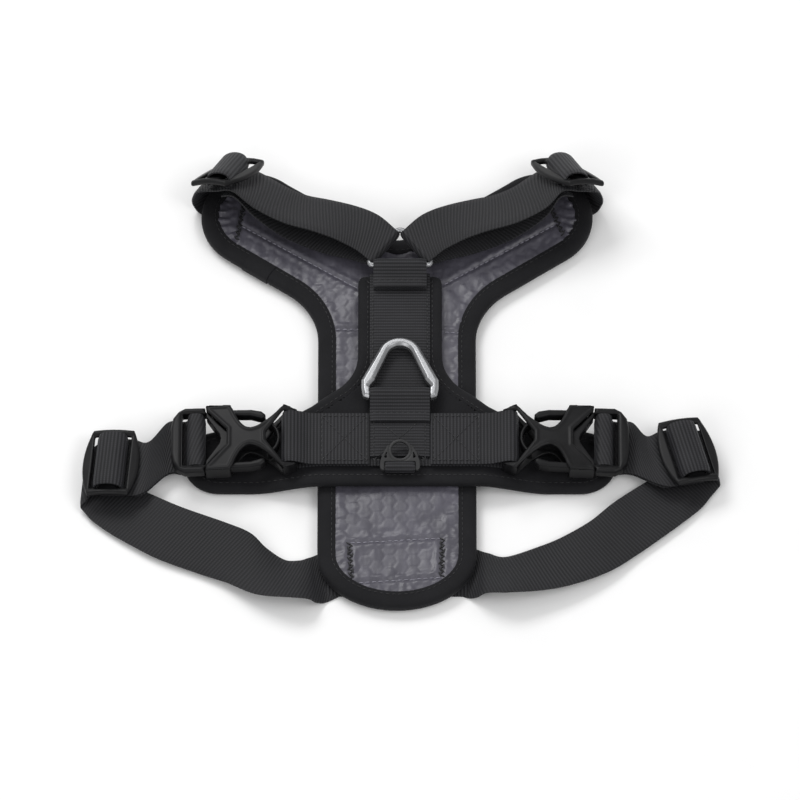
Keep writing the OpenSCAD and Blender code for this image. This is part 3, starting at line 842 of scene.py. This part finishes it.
def shoulder_stations(at):
    """From under the arm, round its tip, under the slider, through the neck ring and back."""
    s = at[0][0] + 87
    r = NECK_R + 0.2 + STRAP_T / 2
    fold = Vector((-NECK_HALF * (1 - FOLD_SHARE), NECK_BAR[0] + NECK_HEIGHT * FOLD_SHARE, NECK_BAR[1]))
    turn = math.radians(FOLD_HEADING)
    out = Vector((math.sin(turn), -math.cos(turn), 0))
    wrap = []
    for a in range(0, 181, 30):
        p = fold + r * (out * math.sin(math.radians(a)) + Vector((0, 0, math.cos(math.radians(a)))))
        wrap.append([p.x, p.y, p.z, FOLD_HEADING, 0, FOLD_WEB_W])
    return [
        [-34, 78.5, 0.8, 56, 0, 30], [-60, 97.7, 0.8, 56, 0, 30],
        [-80 + s, 112.4, 0.8, 56, 0, 30], [-90 + s, 119.8, 0.8, 56, 0, 30],
        [-93.4 + s, 122.3, 0.9, 56, 0, 30], [-94.7 + s, 123.2, 1.7, 56, -2, 30],
        [-95.8 + s, 123.5, 3.2, 57, -5, 30], [-96.8 + s, 122.9, 5.4, 58, -10, 30],
        [-98.2 + s, 121.3, 9.2, 63, -22, 30],
        *in_hardware(at, [(-15, -6.6), (-9, -5.6)], 30), *in_hardware(at, [(-2, -4.9), (8, -5)], 33),
        [-65.4, 104.2, 22.6, 56, -27, 30], [-53, 98.4, 20.9, 66, -25, 30],
        [-40, 94.6, 20.8, 71, -23, 30], [-28, 90.6, 20.4, 71, -18, 29],
        [-17, 84.6, 20.6, 61, -6, 25],
        *wrap,
        [-19, 84.4, 13.8, 64, 0, 26], [-30, 89.8, 12.6, 70, -3, 30],
        [-42, 94, 12.3, 70, -6, 30], [-54, 99, 13, 65, -12, 30],
        [-66, 104.4, 17, 58, -22, 30],
        *in_hardware(at, [(8, -8.8), (0, -8.2)], 30)]


# The belly straps, from under the chest panel to the fold beyond the slider
BELLY_RUNS = (
    [[-30, -104, 0.8, 90, 0, 30], [-37, -107.6, 0.8, 91, 0, 30],
     [-41.8, -110.2, 2.6, 92, -8, 30], [-45.2, -111.6, 5.4, 92, -16, 30],
     [-50, -113, 7.2, 90, -21, 30], [-58, -112.4, 7.2, 88, -21, 30],
     [-69, -107.6, 6.4, 80, -8, 30], [-80, -99.6, 5.8, 68, 4, 30],
     [-92.5, -94, 5.5, 66, 10, 30], [-113.5, -85.2, 5.4, 67, 9, 30],
     [-127, -77, 4, 67, 4, 30], [-138, -69.5, 2.6, 68, 0, 30],
     [-148.5, -61.5, 2.4, 74, 0, 30], [-154.5, -56, 2.5, 82, 0, 30],
     [-157.2, -53.6, 3.8, 85, 0, 30], [-155.4, -51.6, 5, 85, 0, 30]],
    [[-28, -102.6, 0.8, 90, 0, 30], [-34, -105, 0.8, 91, 0, 30],
     [-38.8, -107, 2.6, 92, -8, 30], [-43.4, -108.8, 6.2, 92, -18, 30],
     [-53, -110.6, 7.6, 89, -23, 30], [-70, -106.4, 6.8, 86, -13, 30],
     [-83.5, -101.4, 6.2, 80, -6, 30], [-99, -92.8, 5.6, 72, 2, 30],
     [-111.5, -82.6, 5.4, 66, 9, 30], [-122, -73.5, 4.2, 62, 5, 30],
     [-133, -64, 2.8, 61, 0, 30], [-143.5, -54.6, 2.4, 66, 0, 30],
     [-149.6, -47.4, 2.4, 71, 0, 30], [-153.8, -42.8, 2.6, 75, 0, 30],
     [-155.2, -41, 3.9, 75, 0, 30], [-153.8, -39.2, 5, 75, 0, 30]])

BAR_PATH = [(-18, -6.1), (-10, -6.1), (-1.5, -6), (0.2, -5.1), (0.5, -3), (0.4, -0.5), (-0.4, 1.7),
            (-1.6, 2.8), (-3.6, 3.1), (-5.6, 2.8), (-7, 1.4), (-7.3, -1), (-7.9, -3.3), (-9.8, -4.5),
            (-18, -4.5)]


def belly_stations(side):
    at = BELLY_SLIDER_AT[side]
    return (BELLY_RUNS[side]
            + in_hardware(at, [(u, -6.6) for u in (-8, 2, 10, 17)], 30)
            + in_hardware(BUCKLE_AT, BAR_PATH, 30)
            + in_hardware(at, [(17, -4.9)], 30) + in_hardware(at, [(9, -4.9), (-4, -4.9)], 33))


HUMP = [(-6.8, -2.6), (-6.8, 0.6), (-5.7, 2.8), (-3.2, 4), (0, 4.4), (3.2, 4), (5.7, 2.8),
        (6.8, 0.6), (6.8, -2.6)]


def make_webbing():
    strap("spine_webbing", in_yz([(-20.5, SPINE_Z), (SPINE_END_Y, SPINE_Z)], 0, WEB_W), rows=1,
          node="spine_web")
    strap("cross_webbing", in_xz(cross_path(), CROSS_Y, WEB_W - 0.2), rows=1, node="cross_web")
    strap("leash_ring_webbing", in_yz(leash_path(), 0, WEB_W - 0.4), rows=1, node="leash_loop")
    strap("neck_ring_webbing", in_yz(neck_loop_path(), 0, WEB_W - 3.4), rows=1, node="neck_loop")
    strap("tag_ring_webbing", in_yz(tag_path(), 0, 14.4), rows=1, thickness=1.0, node="tag_loop")
    strap("belly_webbing", in_xz([(-41, 0.8), (38, 0.8)], -104, WEB_W), rows=1, node="belly_web")
    for i, side in enumerate(SIDES):
        mirror = i == 1
        strap(f"shoulder_strap_webbing_{side}", shoulder_stations(SHOULDER_SLIDER_AT[i]),
              material=strap_webbing, thickness=STRAP_T, mirror=mirror,
              node=f"shoulder_strap_{side}", rib_depth=0.05)
        for place, ats in (("shoulder", SHOULDER_SLIDER_AT), ("belly", BELLY_SLIDER_AT)):
            body = f"{side}_{place}_slider"
            at = ats[i]
            path = [(p.x, p.y) for p in eased(HUMP, 0.5, 4)]
            strap(f"{place}_slider_webbing_{side}", in_hardware(at, path, 30.4), rows=1,
                  mirror=mirror, body=body, node=f"{place}_slider_web_{side}")
        make_belly_strap(i, side, mirror)


def make_belly_strap(i, side, mirror):
    """The belly strap: from under the chest panel, through its slider and round the buckle's bar. It rides
    on no body.
    """
    piece = strap(f"belly_strap_webbing_{side}", belly_stations(i), material=strap_webbing,
                  thickness=STRAP_T, mirror=mirror, body=None, node=f"belly_strap_{side}",
                  rib_depth=0.06)
    sign = -1 if mirror else 1
    world((-44 * sign, -110, 5))
    world((-94 * sign, -65, 5))
    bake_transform(piece)


# ------------------------------------------------------------------ moulded and cast hardware

def edge_distance(points_2d, outlines):
    """The distance of each point to the nearest edge of any of the closed outlines."""
    best = np.full(len(points_2d), 1e9)
    for outline in outlines:
        ring = np.array([(p[0], p[1]) for p in outline], float)
        for a, b in zip(ring, np.roll(ring, -1, axis=0)):
            ab = b - a
            t = np.clip(((points_2d - a) @ ab) / max(1e-12, ab @ ab), 0, 1)
            best = np.minimum(best, np.linalg.norm(points_2d - (a + t[:, None] * ab), axis=1))
    return best


def moulded(name, node, at, mirror, body, voxel, smooth, shape, material=plastic):
    """A rounded, finely meshed piece made from a CAD node's own solid.

    shape(local) bends the points, given in the hardware's own frame in millimetres."""
    source = frame["nodes"][node]
    bm = bmesh.new()
    bm.from_mesh(source.data)
    bmesh.ops.remove_doubles(bm, verts=bm.verts, dist=1e-6)
    mesh = bpy.data.meshes.new(name)
    bm.to_mesh(mesh)
    bm.free()
    obj = add_object(name, mesh)
    remesh = obj.modifiers.new("remesh", "REMESH")
    remesh.mode = "VOXEL"
    remesh.voxel_size = voxel * MM
    ease = obj.modifiers.new("ease", "SMOOTH")
    ease.factor = 0.5
    ease.iterations = smooth
    solid = bpy.data.meshes.new_from_object(
        obj.evaluated_get(bpy.context.evaluated_depsgraph_get()))
    obj.modifiers.clear()
    obj.data = solid
    solid.name = name
    co = np.zeros(len(solid.vertices) * 3)
    solid.vertices.foreach_get("co", co)
    co = co.reshape(-1, 3) / MM + np.array(MIDDLE)
    flip = np.array([-1.0 if mirror else 1.0, 1.0, 1.0])
    into = np.array(frame_matrix(at).inverted())
    back = np.array(frame_matrix(at))
    local = (co * flip) @ into[:3, :3].T + into[:3, 3]
    local = shape(local)
    co = (local @ back[:3, :3].T + back[:3, 3]) * flip
    solid.vertices.foreach_set("co", ((co - np.array(MIDDLE)) * MM).ravel())
    solid.materials.clear()
    solid.materials.append(material)
    solid.shade_smooth()
    solid.update()
    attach(obj, body)
    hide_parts(node)


def mirrored_half(top):
    """A closed outline from its upper half, which starts and ends on the axis."""
    return top + [(u, -v) for u, v in reversed(top)]


def window(share, reach, power):
    return (24 + reach * share, 5 + 14.5 * share ** power)


FEMALE_TOP = (
    [(12, 0), (12, 4.5), (1.8, 16.2), (1.5, 18), (2.5, 19), (13.4, 19)]
    + [window(i / 10, -10, 2.2) for i in range(9, -1, -1)]
    + [window(i / 10, 17, 1.5) for i in range(1, 10)]
    + [(41.5, 19), (46, 19), (47, 17.8), (47, 15.4), (40.2, 15.4), (31.5, 2.5), (31.5, 0)])
MALE_OUTLINE = [(-16, 0), (-16, 8), (-15, 13.2), (-12.4, 17), (-9, 19), (1.1, 19), (1.1, 17.2),
                (3.2, 14), (11.4, 4.6), (28.8, 3.6), (30, 2.6), (30, 0)]
MALE_MOUTH = [(1.7, 0), (1.7, 13.2), (2.2, 12.4), (8.4, 2.4), (9, 0)]
MALE_SLOT = [(-10.3, -15.4), (1.7, -15.4), (1.7, 15.4), (-10.3, 15.4)]
ARM_OUTLINE = [(6, 13.4), (12, 13.8), (24, 13.4), (29.5, 11.6), (31, 12.4), (31.2, 14), (29, 16),
               (24, 17), (12, 17.2), (6, 17.2)]
LEASH_LEFT = ([(-14, -3.4), (-18.4, -1.6), (-19.2, 3), (-19.2, 8)] + arc(0, 22, 11.3, 161, 90, 16))
LEASH_HOLE = ([(-15.3, 4.6), (-12.4, 8.6), (-12.4, 9.4)] + arc(0, 22, 6.6, 158, 90, 16))


def closer(points, d, near, share):
    """Squeezes the thickness near an edge, which rounds it."""
    t = np.clip(d / near, 0, 1)
    scale = share + (1 - share) * np.sqrt(1 - (1 - t) ** 2)
    points[:, 2] *= scale
    return points


def female_shape(local):
    d = edge_distance(local[:, :2], [mirrored_half(FEMALE_TOP)])
    plate = np.abs(local[:, 2]) > 3.0
    up = np.sign(local[:, 2])
    u, v = local[:, 0], local[:, 1]
    dome = 0.9 * ((u - 24) / 24) ** 2 + 0.9 * (v / 19) ** 2
    rim = 0.45 * np.exp(-((d - 1.3) / 0.75) ** 2)
    lift = np.where(np.abs(local[:, 2]) > 4.2, rim - dome, 0.0)
    local[:, 2] += up * lift * plate
    tip = np.clip((u - 37) / 10, 0, 1) ** 2
    outer = np.clip((np.abs(v) - 15.4) / 3.6, 0, 1)
    local[:, 1] -= np.sign(v) * 2.2 * tip * outer
    local[:, 2] -= 1.3 * tip * (local[:, 2] > 3)
    local[:, 0] -= 2.4 * tip * outer ** 2
    return local


def male_shape(local):
    d = edge_distance(local[:, :2], [mirrored_half(MALE_OUTLINE), mirrored_half(MALE_MOUTH),
                                     MALE_SLOT])
    frame_part = (np.abs(local[:, 1]) > 15.5) | (local[:, 0] < -10.4)
    squeezed = closer(local.copy(), d, 2.2, 0.5)
    return np.where(frame_part[:, None], squeezed, local)


def arm_shape(local):
    flipped = [(u, -v) for u, v in ARM_OUTLINE]
    d = edge_distance(local[:, :2], [ARM_OUTLINE, flipped])
    return closer(local, d, 1.6, 0.62)


def slider_outline():
    """The lens-shaped end frames of a slider and its two slots."""
    end_r, half = 47.0, 14.25
    side = [(end_r - half - math.sqrt(end_r ** 2 - v * v), v) for v in
            [19 - 38 * i / 24 for i in range(25)]]
    outer = side + [(-u, v) for u, v in reversed(side)]
    slots = []
    for s in (-1, 1):
        a, b = sorted((s * 4.4, s * 9.2))
        slots.append([(a, -15.4), (b, -15.4), (b, 15.4), (a, 15.4)])
    return [outer] + slots


SLIDER_OUTLINES = slider_outline()


def slider_shape(local):
    arch = np.sqrt(45.0 ** 2 - local[:, 0] ** 2) - 45.0
    d = edge_distance(local[:, :2], SLIDER_OUTLINES)
    local[:, 2] -= arch
    local = closer(local, d, 1.3, 0.35)
    outer_rail = np.exp(-((np.abs(local[:, 1]) - 17.3) / 1.1) ** 2)
    local[:, 2] += np.sign(local[:, 2]) * 0.35 * outer_rail
    local[:, 2] += arch
    return local


def leash_shape(local):
    outlines = [both_sides(LEASH_LEFT), both_sides(LEASH_HOLE)]
    d = edge_distance(local[:, :2], outlines)
    limit = np.minimum(2.5, 1.15 + d)
    bar = (np.abs(local[:, 0]) < 15.4) & (np.abs(local[:, 1]) < 3.0)
    local[:, 2] = np.where(bar, local[:, 2], local[:, 2] * limit / 2.5)
    return local


def tag_shape(local):
    reach = np.linalg.norm(local[:, :2] - np.array((0, 9)), axis=1)
    legs = np.minimum(np.abs(np.abs(local[:, 0]) - 7.6), np.abs(np.abs(local[:, 0]) - 10))
    d = np.where(local[:, 1] > 3, np.minimum(np.abs(reach - 4.3), np.abs(reach - 5.8)), legs)
    return closer(local, d, 0.9, 0.45)


def make_rings():
    flat = ((0, LEASH_BAR[0], LEASH_BAR[1]), (0, 0, 0))
    moulded("leash_ring_casting", "leash_ring", flat, False, "leash_ring", 0.3, 2, leash_shape,
            metal)
    tag = ((0, TAG_BAR[0], TAG_BAR[1]), (15, 0, 0))
    moulded("tag_ring_moulding", "tag_ring", tag, False, "tag_ring", 0.2, 3, tag_shape, grey_plastic)
    make_neck_ring()


def tube(name, path, r, material, body, node, sides=20):
    """A closed loop of round wire along a level path of drawing points."""
    count = len(path)
    points = []
    for i, p in enumerate(path):
        d = (path[(i + 1) % count] - path[i - 1]).normalized()
        n = Vector((-d.y, d.x, 0))
        for k in range(sides):
            a = 2 * math.pi * k / sides
            points.append(p + n * (r * math.cos(a)) + Vector((0, 0, r * math.sin(a))))
    obj = build(name, points, loft(count, sides, closed=True), material, body=body)
    tidy_normals(obj)
    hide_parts(node)


def make_neck_ring():
    bend, top_bend = 1.8, 3.0
    side = math.degrees(math.atan2(NECK_HEIGHT, NECK_HALF))
    corner = NECK_HALF - bend / math.tan(math.radians(side / 2))
    apex = NECK_BAR[0] + NECK_HEIGHT - top_bend / math.cos(math.radians(side))
    low = NECK_BAR[0] + bend
    path = (arc(-corner, low, bend, 90 + side, 270, 12) + arc(corner, low, bend, -90, 90 - side, 12)
            + arc(0, apex, top_bend, 90 - side, 90 + side, 16))
    loop = resample([(x, y, NECK_BAR[1]) for x, y in path], 0.9, closed=True)
    tube("neck_ring_wire", loop, NECK_R, metal, "harness", "neck_ring")


def make_hardware():
    for i, side in enumerate(SIDES):
        mirror = i == 1
        moulded(f"buckle_female_{side}_moulding", f"buckle_female_{side}", BUCKLE_AT, mirror,
                "harness", 0.36, 5, female_shape)
        moulded(f"buckle_male_{side}_moulding", f"buckle_male_{side}", BUCKLE_AT, mirror,
                f"{side}_buckle", 0.36, 4, male_shape)
        for hand in ("upper", "lower"):
            moulded(f"buckle_{side}_{hand}_arm_moulding", f"buckle_{side}_{hand}_arm", BUCKLE_AT,
                    mirror, f"{side}_{hand}_arm", 0.32, 4, arm_shape)
        for place, ats in (("shoulder", SHOULDER_SLIDER_AT), ("belly", BELLY_SLIDER_AT)):
            moulded(f"{place}_slider_{side}_moulding", f"{place}_slider_{side}", ats[i], mirror,
                    f"{side}_{place}_slider", 0.3, 3, slider_shape)
    make_rings()


# ------------------------------------------------------------------ stitching

def stitches(name, lines, material, radius=0.26, length=2.1, pitch=STITCH_PITCH):
    """Thread on a surface. Each line is a list of points, and each stitch a small spindle."""
    points, faces = [], []
    sides, profile = 6, ((-1.0, 0.15), (-0.75, 0.7), (-0.3, 1.0), (0.3, 1.0), (0.75, 0.7), (1.0, 0.15))
    last = (len(profile) - 1) * sides
    spindle = loft(len(profile), sides) + [tuple(range(sides)), tuple(reversed(range(last, last + sides)))]
    for line in lines:
        run = length_along(line)
        count = int(run[-1] / pitch)
        even = resample(line, run[-1] / (2 * count)) if count > 0 else []
        for k in range(count):
            c = even[min(2 * k + 1, len(even) - 2)]
            along = (even[min(2 * k + 2, len(even) - 1)] - even[2 * k]).normalized()
            side = along.cross(Vector((0, 0, 1))).normalized()
            up = side.cross(along)
            base = len(points)
            for t, r in profile:
                for m in range(sides):
                    a = 2 * math.pi * m / sides
                    bow = 0.12 * (1 - t * t)
                    points.append(c + along * (t * length / 2) + side * (radius * r * math.cos(a))
                                  + up * (radius * r * math.sin(a) + bow))
            faces += [tuple(base + v for v in face) for face in spindle]
    tidy_normals(build(name, points, faces, material))


def zigzag(a, b, width=2.4, pitch=1.5):
    """A bartack's path from a to b, swinging from side to side."""
    a, b = Vector(a), Vector(b)
    along = (b - a).normalized()
    side = Vector((-along.y, along.x)) * width / 2
    count = int((b - a).length / pitch)
    return [a + along * (pitch * i) + side * (1 if i % 2 else -1) for i in range(count + 1)]


def raised(line, height):
    """A plan line as points on a surface whose height is a function of x and y."""
    return [Vector((p[0], p[1], height(p[0], p[1]))) for p in resample(line, 1.0)]


def make_stitching(lining_height):
    chest_seam = inset(chest_edge, CHEST_BIND - 1.9)
    back_seam = inset(back_edge, BACK_BIND - 1.6)
    stitches("chest_binding_stitches",
             [[Vector((p.x, p.y, CHEST_TOP + 0.12)) for p in list(chest_seam) + [chest_seam[0]]]],
             black_thread, radius=0.22, length=2.0)
    stitches("back_binding_stitches",
             [[Vector((p.x, p.y, BACK_TOP + 0.1 + winged(p.x, p.y)))
               for p in list(back_seam) + [back_seam[0]]]],
             dark_thread, radius=0.2, length=2.0)
    pale, dark = [], []
    for k, (a, b) in enumerate(QUILTING):
        bartack = k in BARTACKS
        line = raised(zigzag(a, b) if bartack else [a, b], lambda x, y: lining_height(x, y) + 0.15)
        (dark if bartack else pale).append(line)
    stitches("quilting_stitches", pale, pale_thread, radius=0.24, length=2.3)
    stitches("bartack_stitches", dark, black_thread, radius=0.42, length=2.9, pitch=1.6)

    top = PATCH_Z + 0.85
    boxes = []
    y0, y1 = CROSS_Y + 13.0, CROSS_Y - 13.0
    for x0, x1 in ((-39, -16.5), (-13, 12.5), (16.5, 39)):
        z = top + (PLY_GAP if abs(x0) > 14 else 0)
        corner = [Vector((x, y, z)) for x, y in ((x0, y0), (x1, y0), (x1, y1), (x0, y1))]
        boxes.append(corner + [corner[0]])
        boxes.append([corner[0], corner[2]])
        boxes.append([corner[1], corner[3]])
    boxes.append([Vector((-14, -21.5, PATCH_Z + 2.4)), Vector((14, -21.5, PATCH_Z + 2.4))])
    boxes.append([Vector((-11.5, 57.5, PATCH_Z + 2.5)), Vector((11.5, 57.5, PATCH_Z + 2.5))])
    for x in (-13.6, 13.6):
        boxes.append([Vector((x, -18, SPINE_Z + 0.85)), Vector((x, 52, SPINE_Z + 0.85))])
    stitches("webbing_stitches", boxes, dark_thread, radius=0.24, length=2.1, pitch=2.7)


# ------------------------------------------------------------------ stage

def area_light(name, place_m, size_m, watts):
    """A soft light that faces the origin."""
    data = bpy.data.lights.new(name, "AREA")
    data.shape = "RECTANGLE"
    data.size, data.size_y = size_m
    data.energy = watts
    obj = add_object(name, data)
    obj.location = place_m
    obj.rotation_euler = (-Vector(place_m)).to_track_quat("-Z", "Y").to_euler()


def make_camera():
    elevation, distance_m = math.radians(57), 6.0
    data = bpy.data.cameras.new("camera")
    data.sensor_width = 36
    data.lens = 36 * distance_m / 0.4
    data.clip_start = 0.05
    data.dof.use_dof = False
    camera = add_object("camera", data)
    target = world((0, -2.7, 0))
    away = Vector((0, -math.cos(elevation), math.sin(elevation)))
    camera.location = target + away * distance_m
    camera.rotation_euler = (-away).to_track_quat("-Z", "Y").to_euler()
    bpy.context.scene.camera = camera


def make_stage():
    bm = bmesh.new()
    bmesh.ops.create_grid(bm, x_segments=40, y_segments=40, size=4)
    mesh = bpy.data.meshes.new("floor")
    bm.to_mesh(mesh)
    bm.free()
    floor = add_object("floor", mesh)
    mesh.materials.append(floor_material())
    sky = bpy.data.worlds.new("studio")
    sky.use_nodes = True
    light = sky.node_tree.nodes["Background"]
    light.inputs["Color"].default_value = (1, 1, 1, 1)
    light.inputs["Strength"].default_value = 0.55
    bpy.context.scene.world = sky
    area_light("key", (-0.5, 0.75, 1.1), (0.9, 0.5), 9)
    area_light("fill", (0.8, -0.5, 1.2), (0.8, 0.8), 5)
    area_light("front", (-0.6, -0.9, 0.8), (0.7, 0.7), 3)
    bpy.context.scene.view_settings.view_transform = "Standard"


# ------------------------------------------------------------------ the whole model

make_camera()
lining_top = make_panels()
make_webbing()
make_hardware()
make_stitching(lining_top)
make_stage()
